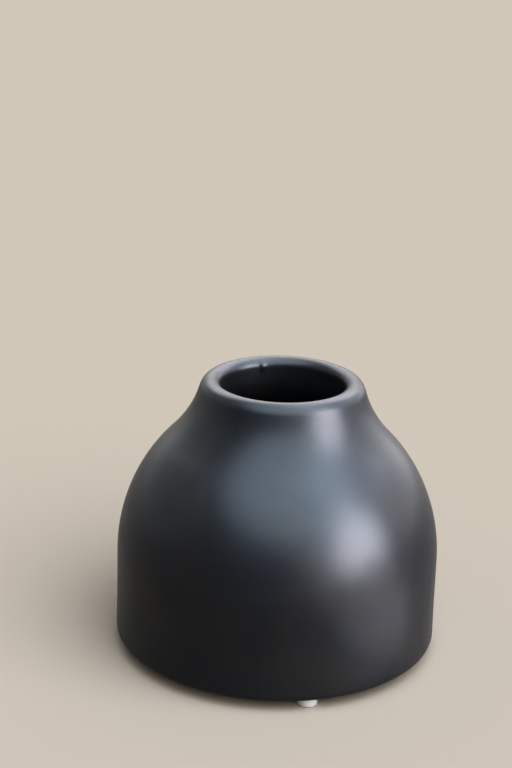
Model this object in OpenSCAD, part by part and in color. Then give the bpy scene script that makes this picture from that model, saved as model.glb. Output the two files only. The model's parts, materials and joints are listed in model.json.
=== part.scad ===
// A round ceramic jar with a narrow mouth, standing on four stick-on feet.
// Millimetres, +Z up. The origin is on the jar's axis, at the surface that it stands on, and -Y is the front.

/* [Outside of the jar] */
// Diameter of the straight lower wall
body_d = 100; // [84:1:130]
// Height of the ceramic, from its underside to the top of the lip
body_h = 83.4; // [70:0.1:110]
// Radius of the shoulder, where the wall turns in
shoulder_r = 53; // [40:1:64]
// Radius of the hollow curve between the shoulder and the lip
neck_r = 40; // [28:1:55]
// Lean of the neck where it meets the lip, in degrees from upright
neck_lean = 17.5; // [5:0.5:28]
// Radius of the edge between the wall and the underside
base_edge_r = 2.2; // [1:0.1:5]

/* [Mouth] */
// Diameter of the throat
mouth_d = 38; // [30:0.5:50]
// Thickness of the rounded lip
lip_t = 5.8; // [4:0.1:8]
// Length of the straight throat, below the lip's rounding
throat_h = 4; // [2:0.1:8]
// Radius of the curve that opens the throat into the cavity
flare_r = 12; // [6:0.5:18]

/* [Walls and floor] */
// Thickness of the side wall
wall_t = 5; // [3.5:0.1:7]
// Thickness of the floor, measured from the foot ring
floor_t = 6; // [4:0.1:9]
// Radius between the floor and the side wall, inside
corner_r = 8; // [3:0.5:12]

/* [Underside] */
// Width of the flat foot ring
ring_w = 12; // [9:0.5:18]
// Depth of the recess inside the foot ring
recess_h = 1.2; // [0.5:0.1:2.5]

/* [Stick-on feet] */
// Diameter of a foot
foot_d = 6.4; // [5:0.1:8]
// Height of a foot, without its adhesive
foot_h = 2.7; // [1.5:0.1:4]
// Radius of the rounded edge that a foot stands on
foot_edge_r = 0.5; // [0.2:0.1:1.2]
// Gap between a foot's rim and the outer edge of the foot ring
foot_inset = 0; // [0:0.1:2]
// Angle of the first foot from the front, towards +X, in degrees
foot_turn = 13.5; // [0:0.5:90]
// Gap between an adhesive disc's edge and its foot's rim
adhesive_inset = 0.2; // [0:0.05:1]
// Thickness of an adhesive disc
adhesive_t = 0.2; // [0.1:0.05:0.5]

/* [Hidden] */
PLACES = ["front", "right", "back", "left"];

$fn = 120;
arc_step = 2.5;       // degrees between the points of a large arc
small_arc_step = 10;  // degrees between the points of a small edge

// Height of the ceramic's underside above the surface
stand_h = foot_h + adhesive_t;

wall_r = body_d / 2;
mouth_r = mouth_d / 2;
lip_r = lip_t / 2;
foot_r = foot_d / 2;
adhesive_r = foot_r - adhesive_inset;

// Outside: lip, neck curve and shoulder touch each other, so their centres give the turn between them.
lip_c = [mouth_r + lip_r, body_h - lip_r];
neck_c = lip_c + (lip_r + neck_r) * [cos(neck_lean), sin(neck_lean)];
shoulder_turn = acos((neck_c.x - wall_r + shoulder_r) / (shoulder_r + neck_r));
shoulder_c = neck_c - (shoulder_r + neck_r) * [cos(shoulder_turn), sin(shoulder_turn)];

// Inside: the shoulder is one wall thickness in, and the flare joins it to the throat.
cavity_r = wall_r - wall_t;
cavity_shoulder_r = shoulder_r - wall_t;
flare_c = [mouth_r + flare_r, lip_c.y - throat_h];
cavity_turn = acos((flare_c.x - cavity_r + cavity_shoulder_r) / (cavity_shoulder_r + flare_r));
cavity_shoulder_c = flare_c - (cavity_shoulder_r + flare_r) * [cos(cavity_turn), sin(cavity_turn)];
corner_c = [cavity_r - corner_r, floor_t + corner_r];

// Underside: the foot ring starts where the base edge ends, and the feet line up with it.
ring_r = wall_r - base_edge_r;
recess_r = ring_r - ring_w;
foot_circle_r = ring_r - foot_inset - foot_r;

function foot_name(place) = str(place, "_foot");
function adhesive_name(place) = str(place, "_foot_adhesive");
function place_turn(i) = foot_turn + i * 360 / len(PLACES);

// Points of an arc about c, from angle a to angle b. A negative r draws the far side, for a hollow curve.
function arc(c, r, a, b, step = arc_step) =
    let (n = max(1, ceil(abs(b - a) / step)))
    [for (i = [0:n]) let (t = a + (b - a) * i / n) c + r * [cos(t), sin(t)]];

function outside() = concat(
    [[0, recess_h], [recess_r - recess_h, recess_h], [recess_r, 0]],
    arc([ring_r, base_edge_r], base_edge_r, -90, 0, small_arc_step),
    arc(shoulder_c, shoulder_r, 0, shoulder_turn),
    arc(neck_c, -neck_r, shoulder_turn, neck_lean),
    arc(lip_c, lip_r, neck_lean, 90, small_arc_step),
    arc(lip_c, lip_r, 90, 180, small_arc_step)
);

function inside() = concat(
    arc(flare_c, -flare_r, 0, cavity_turn),
    arc(cavity_shoulder_c, cavity_shoulder_r, cavity_turn, 0),
    arc(corner_c, corner_r, 0, -90, small_arc_step),
    [[0, floor_t]]
);

module jar_body() {
    color([0.13, 0.13, 0.14])
        translate([0, 0, stand_h])
            rotate_extrude()
                polygon(concat(outside(), inside()));
}

module foot() {
    color([0.86, 0.87, 0.88])
        rotate_extrude()
            polygon(concat(
                [[0, 0]],
                arc([foot_r - foot_edge_r, foot_edge_r], foot_edge_r, -90, 0, small_arc_step),
                [[foot_r, foot_h], [0, foot_h]]
            ));
}

module adhesive() {
    color([0.93, 0.92, 0.88])
        translate([0, 0, foot_h])
            cylinder(r = adhesive_r, h = adhesive_t);
}

// Puts a piece at one of the places round the foot ring.
module at_place(i) {
    rotate(place_turn(i))
        translate([0, -foot_circle_r, 0])
            children();
}

jar_body();
for (i = [0:len(PLACES) - 1]) {
    at_place(i) foot();
    at_place(i) adhesive();
}
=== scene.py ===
"""A small-mouthed satin black ceramic jar on clear stick-on feet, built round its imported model.

Metres, +Z up, with the jar's axis on Z, the surface it stands on at zero, and its front towards -Y.
"""

import json
import math

import bpy
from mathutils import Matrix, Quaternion, Vector


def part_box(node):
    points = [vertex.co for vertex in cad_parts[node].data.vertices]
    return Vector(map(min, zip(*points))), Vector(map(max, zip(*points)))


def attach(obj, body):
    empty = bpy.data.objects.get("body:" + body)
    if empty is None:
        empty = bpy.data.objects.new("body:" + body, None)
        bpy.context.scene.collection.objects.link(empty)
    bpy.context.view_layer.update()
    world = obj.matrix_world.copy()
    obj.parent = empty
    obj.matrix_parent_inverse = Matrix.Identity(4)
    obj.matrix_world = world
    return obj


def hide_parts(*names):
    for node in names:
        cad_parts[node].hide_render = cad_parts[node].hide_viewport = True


MM = 0.001

# The jar's outline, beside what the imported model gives
SHOULDER_R = 53 * MM
NECK_R = 40 * MM
NECK_LEAN = math.radians(17.5)  # of the neck from upright, where it meets the lip
BLEND_R = 5.5 * MM  # of the thick glaze that softens the turn from the lip into the neck
BLEND_START = math.radians(45)  # how far down the lip it starts
BASE_EDGE_R = 2.2 * MM
WALL_T = 5 * MM
FLOOR_T = 6 * MM
CORNER_R = 8 * MM
FLARE_R = 12 * MM
RING_W = 12 * MM  # flat ring that the feet are stuck to
RECESS_H = 1.2 * MM
RECESS_EDGE_R = 0.5 * MM
GLAZE_T = 0.15 * MM  # thickness of the glaze where it stops at the foot ring
GLAZE_START = math.radians(-70)  # how far round the base edge the glaze starts
ROLL_END = math.radians(285)  # how far round the glaze's rolled edge goes
ROUND_STEPS = 288  # segments round the jar
UNEVENNESS = 0.18 * MM  # how far the cast wall wanders inwards

# The glaze run inside the lip
RUN_ANGLE = math.radians(109.5)  # round the axis from +X
RUN_W = 1.1 * MM
RUN_T = 0.4 * MM

# Feet
FOOT_EDGE_R = 0.5 * MM
FOOT_TOP_EDGE_R = 0.08 * MM
FOOT_DRAFT = 0.965  # width of a foot where it stands, as a share of its width at the top
FOOT_STEPS = 96  # segments round a foot
DISH_R = 1.9 * MM
DISH_H = 0.12 * MM
DISH_EDGE_W = 0.35 * MM
DISH_RING_W = 0.6 * MM
GATE_EDGE_W = 0.12 * MM  # of the moulding gate's mark in the middle of the dish
PLACES = ("front", "right", "back", "left")

# Studio
FLOOR_SIZE = 80
PANEL_DISTANCE = 2
WINDOW_PLACE = (61, 9)  # azimuth and elevation
WINDOW_SIZE = (21, 25)
CARD_HEIGHT = 1 * MM
CAMERA_YAW = math.radians(-0.903)
CAMERA_PITCH = math.radians(19.204)
CAMERA_ROLL = math.radians(1.731)
CAMERA_BACK = 0.51601  # in front of the jar's axis
CAMERA_UP = 0.26109  # above the ceramic's underside
CAMERA_LENS = 84.375
CAMERA_SENSOR = 36

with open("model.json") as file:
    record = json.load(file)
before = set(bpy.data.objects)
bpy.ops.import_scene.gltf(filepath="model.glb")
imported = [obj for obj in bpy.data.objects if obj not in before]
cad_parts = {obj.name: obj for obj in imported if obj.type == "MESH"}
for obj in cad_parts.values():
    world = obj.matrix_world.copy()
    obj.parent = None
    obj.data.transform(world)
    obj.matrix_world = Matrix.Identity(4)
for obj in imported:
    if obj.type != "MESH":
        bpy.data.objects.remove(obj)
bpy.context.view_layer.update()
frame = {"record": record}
mounts = {mount["name"]: mount for mount in frame["record"]["mounts"]}
body_low, body_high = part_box("jar_body")


# ---------------------------------------------------------------- modelling


def start_piece():
    """Deselects all, so that the operators that follow act on the new piece alone."""
    if bpy.context.object and bpy.context.object.mode != "OBJECT":
        bpy.ops.object.mode_set(mode="OBJECT")
    bpy.ops.object.select_all(action="DESELECT")


def finish_piece(name, smooth_angle):
    """Leaves edit mode with the piece at the origin, its doubles merged and its faces outwards."""
    bpy.ops.object.mode_set(mode="EDIT")
    bpy.ops.mesh.select_all(action="SELECT")
    bpy.ops.mesh.remove_doubles(threshold=0.001 * MM)
    bpy.ops.mesh.normals_make_consistent(inside=False)
    bpy.ops.object.mode_set(mode="OBJECT")
    piece = bpy.context.object
    piece.name = name
    piece.data.name = name
    bpy.ops.object.transform_apply(location=True, rotation=True, scale=True)
    bpy.ops.object.shade_smooth_by_angle(angle=smooth_angle)
    return piece


def select_faces(piece, chosen):
    """Selects only the faces whose centre and normal pass the test, in edit mode."""
    bpy.ops.mesh.select_all(action="DESELECT")
    bpy.ops.object.mode_set(mode="OBJECT")
    for face in piece.data.polygons:
        face.select = chosen(face.center, face.normal)
    bpy.ops.object.mode_set(mode="EDIT")


def point_of_outline(r, z):
    """Adds the first point of an outline in the XZ plane, and stays in edit mode."""
    bpy.ops.mesh.primitive_plane_add(size=MM, location=(0, 0, 0))
    bpy.ops.object.mode_set(mode="EDIT")
    bpy.ops.mesh.select_mode(type="VERT")
    bpy.ops.mesh.merge(type="CENTER")
    bpy.ops.transform.translate(value=(r, 0, z))
    return Vector((r, z))


def line_to(start, r, z, steps=1):
    """Extrudes the outline's end in a straight line."""
    end = Vector((r, z))
    step = (end - start) / steps
    for _ in range(steps):
        bpy.ops.mesh.extrude_region_move(TRANSFORM_OT_translate={"value": (step.x, 0, step.y)})
    return end


def arc_to(start, centre, turn, steps):
    """Spins the outline's end about a centre; a positive turn goes from +X towards +Z."""
    bpy.ops.mesh.spin(
        steps=steps, angle=turn, center=(centre.x, 0, centre.y), axis=(0, 1, 0)
    )
    arm = start - centre
    cos, sin = math.cos(turn), math.sin(turn)
    return centre + Vector((arm.x * cos - arm.y * sin, arm.x * sin + arm.y * cos))


def direction(angle):
    return Vector((math.cos(angle), math.sin(angle)))


def smooth_step(low, high, value):
    share = min(1, max(0, (value - low) / (high - low)))
    return share * share * (3 - 2 * share)


def glazed_body():
    """The fired pot: bare foot ring and recess, glazed wall, shoulder, neck, lip, throat and cavity."""
    start_piece()
    base_z = body_low.z
    wall_r = -body_low.x
    mouth_r = mounts["mouth"]["dims"]["r_mm"] * MM
    throat_h = mounts["mouth"]["dims"]["length_mm"] * MM
    throat_top = mounts["mouth"]["pos_m"][2] + throat_h / 2
    lip_r = body_high.z - throat_top

    ring_r = wall_r - BASE_EDGE_R
    recess_r = ring_r - RING_W
    lip = Vector((mouth_r + lip_r, throat_top))
    blend = lip - direction(BLEND_START) * (BLEND_R - lip_r)
    neck = blend + direction(NECK_LEAN) * (BLEND_R + NECK_R)
    shoulder_turn = math.acos((neck.x - wall_r + SHOULDER_R) / (SHOULDER_R + NECK_R))
    shoulder = neck - direction(shoulder_turn) * (SHOULDER_R + NECK_R)
    cavity_r = wall_r - WALL_T
    cavity_shoulder_r = SHOULDER_R - WALL_T
    flare = Vector((mouth_r + FLARE_R, throat_top - throat_h))
    cavity_turn = math.acos(
        (flare.x - cavity_r + cavity_shoulder_r) / (cavity_shoulder_r + FLARE_R)
    )
    cavity_shoulder = flare - direction(cavity_turn) * (cavity_shoulder_r + FLARE_R)
    corner = Vector((cavity_r - CORNER_R, base_z + FLOOR_T + CORNER_R))

    # Underside: recess, rounded step down to the foot ring, and the ring out to the glaze's edge.
    end = point_of_outline(0, base_z + RECESS_H)
    end = line_to(end, recess_r - RECESS_H, base_z + RECESS_H, 10)
    end = line_to(end, recess_r - RECESS_EDGE_R, base_z + RECESS_EDGE_R, 3)
    end = line_to(end, recess_r + RECESS_EDGE_R / 2, base_z, 3)
    end = line_to(end, ring_r, base_z, 8)

    # The glaze's rolled edge, and the base edge above it.
    roll = Vector((ring_r + 1.4 * GLAZE_T, base_z + 0.45 * GLAZE_T))
    roll_r = 0.8 * GLAZE_T
    roll_start = math.pi + math.asin(0.45 / 0.8)  # where its circle meets the foot ring
    start = roll + direction(roll_start) * roll_r
    end = line_to(end, start.x, start.y)
    end = arc_to(end, roll, ROLL_END - roll_start, 5)
    base_edge = Vector((ring_r, base_z + BASE_EDGE_R))
    start = base_edge + direction(GLAZE_START) * BASE_EDGE_R
    end = line_to(end, start.x, start.y, 2)
    end = arc_to(end, base_edge, -GLAZE_START, 10)

    # Outside, up to the lip and over it.
    end = line_to(end, wall_r, shoulder.y, 16)
    end = arc_to(end, shoulder, shoulder_turn, 28)
    end = arc_to(end, neck, NECK_LEAN - shoulder_turn, 14)
    end = arc_to(end, blend, BLEND_START - NECK_LEAN, 8)
    end = arc_to(end, lip, math.pi / 2 - BLEND_START, 8)
    end = arc_to(end, lip, math.pi / 2, 16)

    # Inside, down to the floor's centre.
    end = line_to(end, mouth_r, flare.y, 4)
    end = arc_to(end, flare, cavity_turn, 12)
    end = arc_to(end, cavity_shoulder, -cavity_turn, 14)
    end = line_to(end, cavity_r, corner.y, 3)
    end = arc_to(end, corner, -math.pi / 2, 8)
    line_to(end, 0, base_z + FLOOR_T, 8)

    bpy.ops.mesh.select_all(action="SELECT")
    bpy.ops.mesh.spin(steps=ROUND_STEPS, angle=2 * math.pi, center=(0, 0, 0), axis=(0, 0, 1))
    jar = finish_piece("glazed_body", math.radians(40))
    uneven_wall(jar, base_z)
    glaze_run(jar, mouth_r, throat_top, lip_r)

    # Bare clay under the glaze's rolled edge.
    jar.data.materials.append(satin_black_glaze())
    jar.data.materials.append(bare_clay())
    for face in jar.data.polygons:
        low = face.center.z < base_z + 1.1 * RECESS_H
        if low and face.center.xy.length < ring_r + GLAZE_T / 2:
            face.material_index = 1
    return jar


def uneven_wall(jar, base_z):
    """Lets the outside wall wander inwards by a fraction of a millimetre, as a cast wall does."""
    group = jar.vertex_groups.new(name="wall")
    for vertex in jar.data.vertices:
        outside = 0 if vertex.normal.dot(vertex.co.normalized()) < 0 else 1
        up = smooth_step(base_z + 2 * MM, base_z + 14 * MM, vertex.co.z)
        down = 1 - smooth_step(body_high.z - 9 * MM, body_high.z - 3 * MM, vertex.co.z)
        group.add([vertex.index], outside * up * down, "REPLACE")
    clouds = bpy.data.textures.new("cast_wall", "CLOUDS")
    clouds.noise_scale = 0.035
    clouds.noise_depth = 1
    wander = jar.modifiers.new("wander", "DISPLACE")
    wander.texture = clouds
    wander.texture_coords = "LOCAL"
    wander.vertex_group = group.name
    wander.strength = UNEVENNESS
    wander.mid_level = 1
    bpy.ops.object.modifier_apply(modifier=wander.name)
    jar.vertex_groups.clear()


def glaze_run(jar, mouth_r, throat_top, lip_r):
    """A short run of glaze that froze on the inside of the lip, at the far side."""
    towards = Vector((math.cos(RUN_ANGLE), math.sin(RUN_ANGLE), 0))
    across = Vector((-towards.y, towards.x, 0))
    top = throat_top + 0.85 * lip_r
    bottom = throat_top - 0.4 * lip_r
    for vertex in jar.data.vertices:
        place = vertex.co
        if place.dot(towards) < 0 or place.xy.length > mouth_r + 0.9 * lip_r:
            continue
        side = abs(place.dot(across)) / RUN_W
        if side > 1 or not bottom < place.z < top:
            continue
        along = smooth_step(top, throat_top + 0.3 * lip_r, place.z)
        end = smooth_step(bottom, bottom + 0.6 * RUN_W, place.z)
        height = RUN_T * (1 - side * side) ** 1.5 * along * end
        vertex.co = place - towards * height


def foot_pad(place):
    """A moulded foot: slightly tapered, round at its lower edge, dished, with a gate mark in the dish."""
    start_piece()
    low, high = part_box(place + "_foot")
    centre = (low + high) / 2
    radius, height = (high.x - low.x) / 2, high.z - low.z
    bpy.ops.mesh.primitive_cylinder_add(
        vertices=FOOT_STEPS, radius=radius, depth=height, location=centre
    )
    pad = bpy.context.object
    bpy.ops.object.transform_apply(location=True, rotation=False, scale=False)

    bpy.ops.object.mode_set(mode="EDIT")
    bpy.ops.mesh.select_mode(type="FACE")
    select_faces(pad, lambda _, normal: normal.z < -0.99)
    bpy.ops.transform.resize(
        value=(FOOT_DRAFT, FOOT_DRAFT, 1), center_override=(centre.x, centre.y, low.z)
    )
    bpy.ops.mesh.bevel(offset=FOOT_EDGE_R, segments=7, affect="EDGES")
    select_faces(pad, lambda place, normal: normal.z < -0.99 and place.z < low.z + 0.001 * MM)
    bpy.ops.mesh.inset(thickness=radius * FOOT_DRAFT - FOOT_EDGE_R - DISH_R)
    bpy.ops.mesh.inset(thickness=DISH_EDGE_W)
    bpy.ops.transform.translate(value=(0, 0, 0.7 * DISH_H))
    bpy.ops.mesh.inset(thickness=DISH_RING_W)
    bpy.ops.transform.translate(value=(0, 0, 0.3 * DISH_H))
    bpy.ops.mesh.inset(thickness=DISH_RING_W)
    bpy.ops.mesh.inset(thickness=GATE_EDGE_W)
    bpy.ops.transform.translate(value=(0, 0, -0.5 * DISH_H))
    select_faces(pad, lambda _, normal: normal.z > 0.99)
    bpy.ops.mesh.bevel(offset=FOOT_TOP_EDGE_R, segments=3, affect="EDGES")
    return finish_piece(place + "_foot_pad", math.radians(35))


def glue_disc(place):
    """A die-cut adhesive disc, squeezed so that its edge bulges a little."""
    start_piece()
    low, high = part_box(place + "_foot_adhesive")
    centre = (low + high) / 2
    radius, height = (high.x - low.x) / 2, high.z - low.z
    bpy.ops.mesh.primitive_cylinder_add(
        vertices=FOOT_STEPS, radius=radius, depth=height, location=centre
    )
    disc = bpy.context.object
    bpy.ops.object.transform_apply(location=True, rotation=False, scale=False)
    bpy.ops.object.mode_set(mode="EDIT")
    bpy.ops.mesh.select_mode(type="FACE")
    select_faces(disc, lambda _, normal: abs(normal.z) > 0.9)
    bpy.ops.mesh.bevel(offset=0.4 * height, segments=4, affect="EDGES")
    return finish_piece(place + "_foot_glue", math.radians(35))


# ---------------------------------------------------------------- materials


def new_material(name):
    """A material with its principled shader, and a maker of nodes in it."""
    material = bpy.data.materials.new(name)
    material.use_nodes = True
    tree = material.node_tree
    shader = tree.nodes["Principled BSDF"]

    def node(kind, inputs=None, **settings):
        made = tree.nodes.new("ShaderNode" + kind)
        for key, value in settings.items():
            setattr(made, key, value)
        for key, value in (inputs or {}).items():
            if isinstance(value, bpy.types.NodeSocket):
                tree.links.new(value, made.inputs[key])
            else:
                made.inputs[key].default_value = value
        return made

    def link(output, key):
        tree.links.new(output, shader.inputs[key])

    return material, shader, node, link


def in_range(node, value, low, high, new_low, new_high):
    """A smooth ramp of value from one range to another."""
    made = node(
        "MapRange",
        {"Value": value, "From Min": low, "From Max": high, "To Min": new_low, "To Max": new_high},
        interpolation_type="SMOOTHSTEP",
    )
    return made.outputs["Result"]


def noise(node, place, scale, detail=2, roughness=0.5, distortion=0):
    inputs = {
        "Vector": place,
        "Scale": scale,
        "Detail": detail,
        "Roughness": roughness,
        "Distortion": distortion,
    }
    return node("TexNoise", inputs).outputs["Fac"]


def blend_colours(node, share, first, second):
    made = node("Mix", data_type="RGBA")
    for socket, value in ((made.inputs[0], share), (made.inputs[6], first), (made.inputs[7], second)):
        if isinstance(value, bpy.types.NodeSocket):
            value.node.id_data.links.new(value, socket)
        else:
            socket.default_value = value
    return made.outputs[2]


def add(node, first, second, operation="ADD"):
    made = node("Math", operation=operation)
    for socket, value in zip(made.inputs, (first, second)):
        if isinstance(value, bpy.types.NodeSocket):
            value.node.id_data.links.new(value, socket)
        else:
            socket.default_value = value
    return made.outputs["Value"]


def satin_black_glaze():
    """Near-black satin glaze: faint cloudiness, fine specks, smudges in its gloss and a silky grain."""
    material, shader, node, link = new_material("satin_black_glaze")
    place = node("TexCoord").outputs["Object"]
    clouds = noise(node, place, 55, detail=3, distortion=0.4)
    specks = in_range(node, noise(node, place, 2600, detail=1), 0.66, 0.74, 0, 0.3)
    blue_black = (0.004, 0.0045, 0.006, 1)
    brown_black = (0.007, 0.0062, 0.006, 1)
    cloudy = in_range(node, clouds, 0.35, 0.68, 0, 1)
    colour = blend_colours(node, cloudy, blue_black, brown_black)
    colour = blend_colours(node, specks, colour, (0.036, 0.036, 0.039, 1))
    height = node("SeparateXYZ", {"Vector": place}).outputs["Z"]
    # Lighter towards the top of the lip: partly thinner glaze at the crest, partly a painted highlight on
    # the lip's top.
    thin_glaze_and_painted_highlight = in_range(node, height, body_high.z - 0.9 * MM, body_high.z + 0.2 * MM, 0, 0.5)
    colour = blend_colours(node, thin_glaze_and_painted_highlight, colour, (0.045, 0.042, 0.040, 1))
    link(colour, "Base Color")

    touched = noise(node, place, 38, detail=4, roughness=0.6, distortion=1.2)
    smudges = in_range(node, touched, 0.5, 0.72, 0, 0.06)
    grain = in_range(node, noise(node, place, 1500, detail=2), 0.3, 0.7, -0.015, 0.02)
    gloss = add(node, add(node, 0.38, smudges), grain)
    link(gloss, "Roughness")
    shader.inputs["IOR"].default_value = 1.4

    silky = noise(node, place, 900, detail=2)
    fine = noise(node, place, 5200, detail=1)
    relief = add(node, add(node, silky, 0.7, "MULTIPLY"), add(node, fine, 0.3, "MULTIPLY"))
    bump = node("Bump", {"Height": relief, "Strength": 0.2, "Distance": 0.01 * MM})
    link(bump.outputs["Normal"], "Normal")
    return material


def bare_clay():
    """Unglazed pale stoneware: dry, with small dark and light grains, and grey where it was wiped."""
    material, shader, node, link = new_material("bare_clay")
    place = node("TexCoord").outputs["Object"]
    stain = in_range(node, noise(node, place, 110, detail=4, roughness=0.6), 0.4, 0.7, 0, 1)
    colour = blend_colours(node, stain, (0.56, 0.50, 0.42, 1), (0.43, 0.38, 0.33, 1))
    dark = in_range(node, noise(node, place, 1700, detail=2), 0.64, 0.72, 0, 0.8)
    colour = blend_colours(node, dark, colour, (0.13, 0.10, 0.08, 1))
    light = in_range(node, noise(node, place, 2300, detail=1, distortion=0.5), 0.65, 0.73, 0, 0.7)
    colour = blend_colours(node, light, colour, (0.72, 0.68, 0.60, 1))
    link(colour, "Base Color")
    link(in_range(node, stain, 0, 1, 0.78, 0.92), "Roughness")
    sand = noise(node, place, 2600, detail=3, roughness=0.65)
    bump = node("Bump", {"Height": sand, "Strength": 0.6, "Distance": 0.05 * MM})
    link(bump.outputs["Normal"], "Normal")
    return material


def clear_foot_rubber():
    """Soft clear polyurethane, milky in its depth, with dust and scuffs where it stands."""
    material, shader, node, link = new_material("clear_foot_rubber")
    place = node("TexCoord").outputs["Object"]
    height = node("SeparateXYZ", {"Vector": place}).outputs["Z"]
    haze = in_range(node, noise(node, place, 350, detail=1), 0.3, 0.7, 0, 1)
    colour = blend_colours(node, haze, (0.88, 0.89, 0.9, 1), (0.94, 0.94, 0.94, 1))
    dust = in_range(node, height, 0.5 * MM, 0, 0, 0.45)
    dust = add(node, dust, noise(node, place, 1500, detail=3), "MULTIPLY")
    colour = blend_colours(node, dust, colour, (0.50, 0.45, 0.39, 1))
    link(colour, "Base Color")
    link(in_range(node, add(node, haze, dust), 0, 1.2, 0.3, 0.42), "Roughness")
    shader.inputs["IOR"].default_value = 1.49
    shader.inputs["Transmission Weight"].default_value = 0.35
    skin = noise(node, place, 1900, detail=2)
    bump = node("Bump", {"Height": skin, "Strength": 0.1, "Distance": 0.004 * MM})
    link(bump.outputs["Normal"], "Normal")
    return material


def foot_adhesive():
    """Acrylic adhesive film: cloudy, faintly yellow, with trapped bubbles."""
    material, shader, node, link = new_material("foot_adhesive")
    place = node("TexCoord").outputs["Object"]
    cloud = in_range(node, noise(node, place, 900, detail=3), 0.35, 0.7, 0, 1)
    colour = blend_colours(node, cloud, (0.80, 0.79, 0.73, 1), (0.88, 0.87, 0.82, 1))
    bubbles = node("TexVoronoi", {"Vector": place, "Scale": 2200}).outputs["Distance"]
    bubble = in_range(node, bubbles, 0.1, 0.25, 0.35, 0)
    colour = blend_colours(node, bubble, colour, (0.62, 0.60, 0.55, 1))
    link(colour, "Base Color")
    link(in_range(node, cloud, 0, 1, 0.35, 0.55), "Roughness")
    shader.inputs["Transmission Weight"].default_value = 0.25
    bump = node("Bump", {"Height": bubbles, "Strength": 0.3, "Distance": 0.02 * MM})
    link(bump.outputs["Normal"], "Normal")
    return material


# ---------------------------------------------------------------- studio


def pale_floor():
    bpy.ops.object.select_all(action="DESELECT")
    bpy.ops.mesh.primitive_plane_add(size=FLOOR_SIZE, location=(0, 0, 0))
    floor = bpy.context.object
    floor.name = "floor"
    material, shader, _, _ = new_material("pale_floor")
    shader.inputs["Base Color"].default_value = (0.71, 0.68, 0.635, 1)
    shader.inputs["Roughness"].default_value = 0.8
    shader.inputs["Specular IOR Level"].default_value = 0
    floor.data.materials.append(material)
    return floor


def towards_light(azimuth, elevation):
    """Direction from the jar to a light, in degrees. Azimuth 0 is in front, and it turns towards +X."""
    a, e = math.radians(azimuth), math.radians(elevation)
    return Vector((math.sin(a) * math.cos(e), -math.cos(a) * math.cos(e), math.sin(e)))


def new_lamp(name, kind, colour, only):
    """A light that shines on one collection alone, flagged off from the rest."""
    data = bpy.data.lights.new(name, kind)
    data.color = colour
    lamp = bpy.data.objects.new(name, data)
    bpy.context.scene.collection.objects.link(lamp)
    lamp.light_linking.receiver_collection = only
    return lamp, data


def set_panel(data, size, radiance):
    """Makes an oval panel of a size in metres that looks equally bright from near and far."""
    data.shape = "ELLIPSE"
    data.size, data.size_y = size
    data.energy = radiance * math.pi * data.size * data.size_y


def soft_panel(name, place, size, radiance, colour, only):
    """A panel that faces the jar. Its size is half its width and height as seen from there, in degrees."""
    towards = towards_light(*place)
    lamp, data = new_lamp(name, "AREA", colour, only)
    set_panel(data, [2 * PANEL_DISTANCE * math.tan(math.radians(half)) for half in size], radiance)
    lamp.location = Vector((0, 0, body_high.z / 2)) + towards * PANEL_DISTANCE
    lamp.rotation_mode = "QUATERNION"
    lamp.rotation_quaternion = towards.to_track_quat("Z", "Y")
    lamp.visible_camera = False


def bounce_card(azimuth, distance, size, radiance, colour, only):
    """A white card that lies beside the pot and throws the window's light back at its lower wall."""
    card, data = new_lamp("bounce_card", "AREA", colour, only)
    set_panel(data, size, radiance)
    card.location = towards_light(azimuth, 0) * distance + Vector((0, 0, CARD_HEIGHT))
    card.rotation_euler = (math.pi, 0, math.radians(azimuth))
    card.visible_camera = False


def even_light(name, place, spread, strength, colour, only):
    """A soft light from very far away, so even all over the floor. Its spread is in degrees."""
    lamp, data = new_lamp(name, "SUN", colour, only)
    data.angle = math.radians(spread)
    data.energy = strength
    lamp.rotation_mode = "QUATERNION"
    lamp.rotation_quaternion = towards_light(*place).to_track_quat("Z", "Y")


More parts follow.
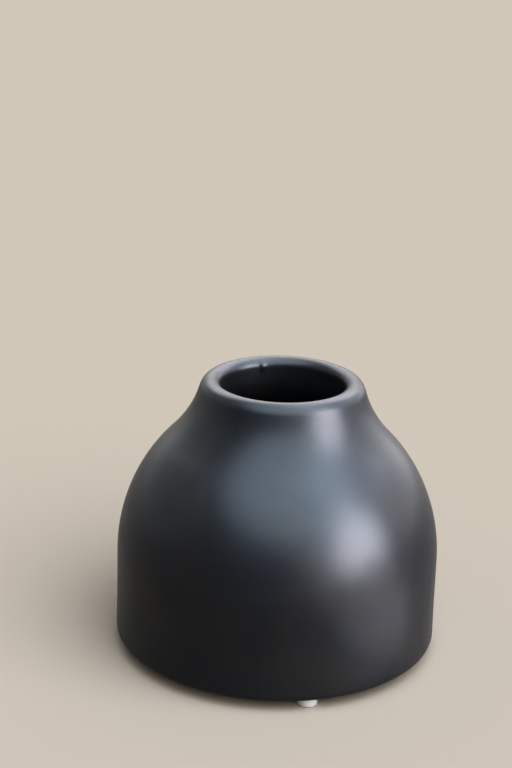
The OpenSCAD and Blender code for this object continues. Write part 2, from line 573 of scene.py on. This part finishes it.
def lights(pot, feet, around):
    """The pot, its feet and the floor have lights of their own, because the glaze is so much darker."""
    soft_panel("window_on_pot", WINDOW_PLACE, WINDOW_SIZE, 21, (0.9, 0.91, 1), pot)
    soft_panel("window_on_feet", WINDOW_PLACE, WINDOW_SIZE, 4.2, (0.95, 0.96, 1), feet)
    even_light("ceiling_on_floor", (40, 52), 70, 2.3, (1, 0.98, 0.95), around)
    soft_panel("sky_front", (14, 62), (44, 38), 7.3, (0.71, 0.86, 1), pot)
    soft_panel("sky_right", (100, 52), (38, 30), 4, (0.78, 0.87, 1), pot)
    soft_panel("front_wall", (48, 12), (34, 20), 1.8, (0.78, 0.86, 1), pot)
    soft_panel("right_wall", (124, 12), (30, 24), 2.7, (0.95, 0.95, 1), pot)
    soft_panel("back_sky", (180, 48), (44, 24), 4.8, (0.97, 0.97, 1), pot)
    soft_panel("back_wall", (180, 10), (44, 14), 0.75, (1, 0.98, 0.96), pot)
    soft_panel("left_wall", (-112, 26), (42, 32), 0.9, (0.85, 0.93, 1), pot)
    bounce_card(58, 0.14, (0.12, 0.14), 2.6, (0.94, 0.94, 1), pot)


def room():
    world = bpy.data.worlds.new("room")
    bpy.context.scene.world = world
    world.use_nodes = True
    background = world.node_tree.nodes["Background"]
    background.inputs["Color"].default_value = (1, 0.95, 0.9, 1)
    background.inputs["Strength"].default_value = 0.45


def camera():
    """Stands in front of the jar, a little above it, and leans as a hand-held camera does."""
    level = math.cos(CAMERA_PITCH)
    ahead = Vector(
        (math.sin(CAMERA_YAW) * level, math.cos(CAMERA_YAW) * level, -math.sin(CAMERA_PITCH))
    )
    data = bpy.data.cameras.new("camera")
    data.lens = CAMERA_LENS
    data.sensor_width = CAMERA_SENSOR
    cam = bpy.data.objects.new("camera", data)
    bpy.context.scene.collection.objects.link(cam)
    cam.location = (0, -CAMERA_BACK, body_low.z + CAMERA_UP)
    cam.rotation_mode = "QUATERNION"
    cam.rotation_quaternion = ahead.to_track_quat("-Z", "Y") @ Quaternion((0, 0, 1), CAMERA_ROLL)
    bpy.context.scene.camera = cam


# ---------------------------------------------------------------- assembly

# What each light shines on: the glazed body, the feet with their glue, and those with the floor.
pot = bpy.data.collections.new("pot")
feet = bpy.data.collections.new("feet")
around = bpy.data.collections.new("around")
bpy.context.scene.collection.children.link(pot)
bpy.context.scene.collection.children.link(feet)
bpy.context.scene.collection.children.link(around)
camera()
around.objects.link(pale_floor())
lights(pot, feet, around)
room()
bpy.context.scene.view_settings.view_transform = "Standard"
bpy.context.scene.view_settings.gamma = 0.7

body = glazed_body()
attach(body, "root")
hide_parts("jar_body")
pot.objects.link(body)

foot_material = clear_foot_rubber()
glue_material = foot_adhesive()
for name in PLACES:
    pad = foot_pad(name)
    pad.data.materials.append(foot_material)
    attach(pad, "root")
    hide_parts(name + "_foot")
    glue = glue_disc(name)
    glue.data.materials.append(glue_material)
    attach(glue, "root")
    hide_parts(name + "_foot_adhesive")
    for piece in (pad, glue):
        feet.objects.link(piece)
        around.objects.link(piece)
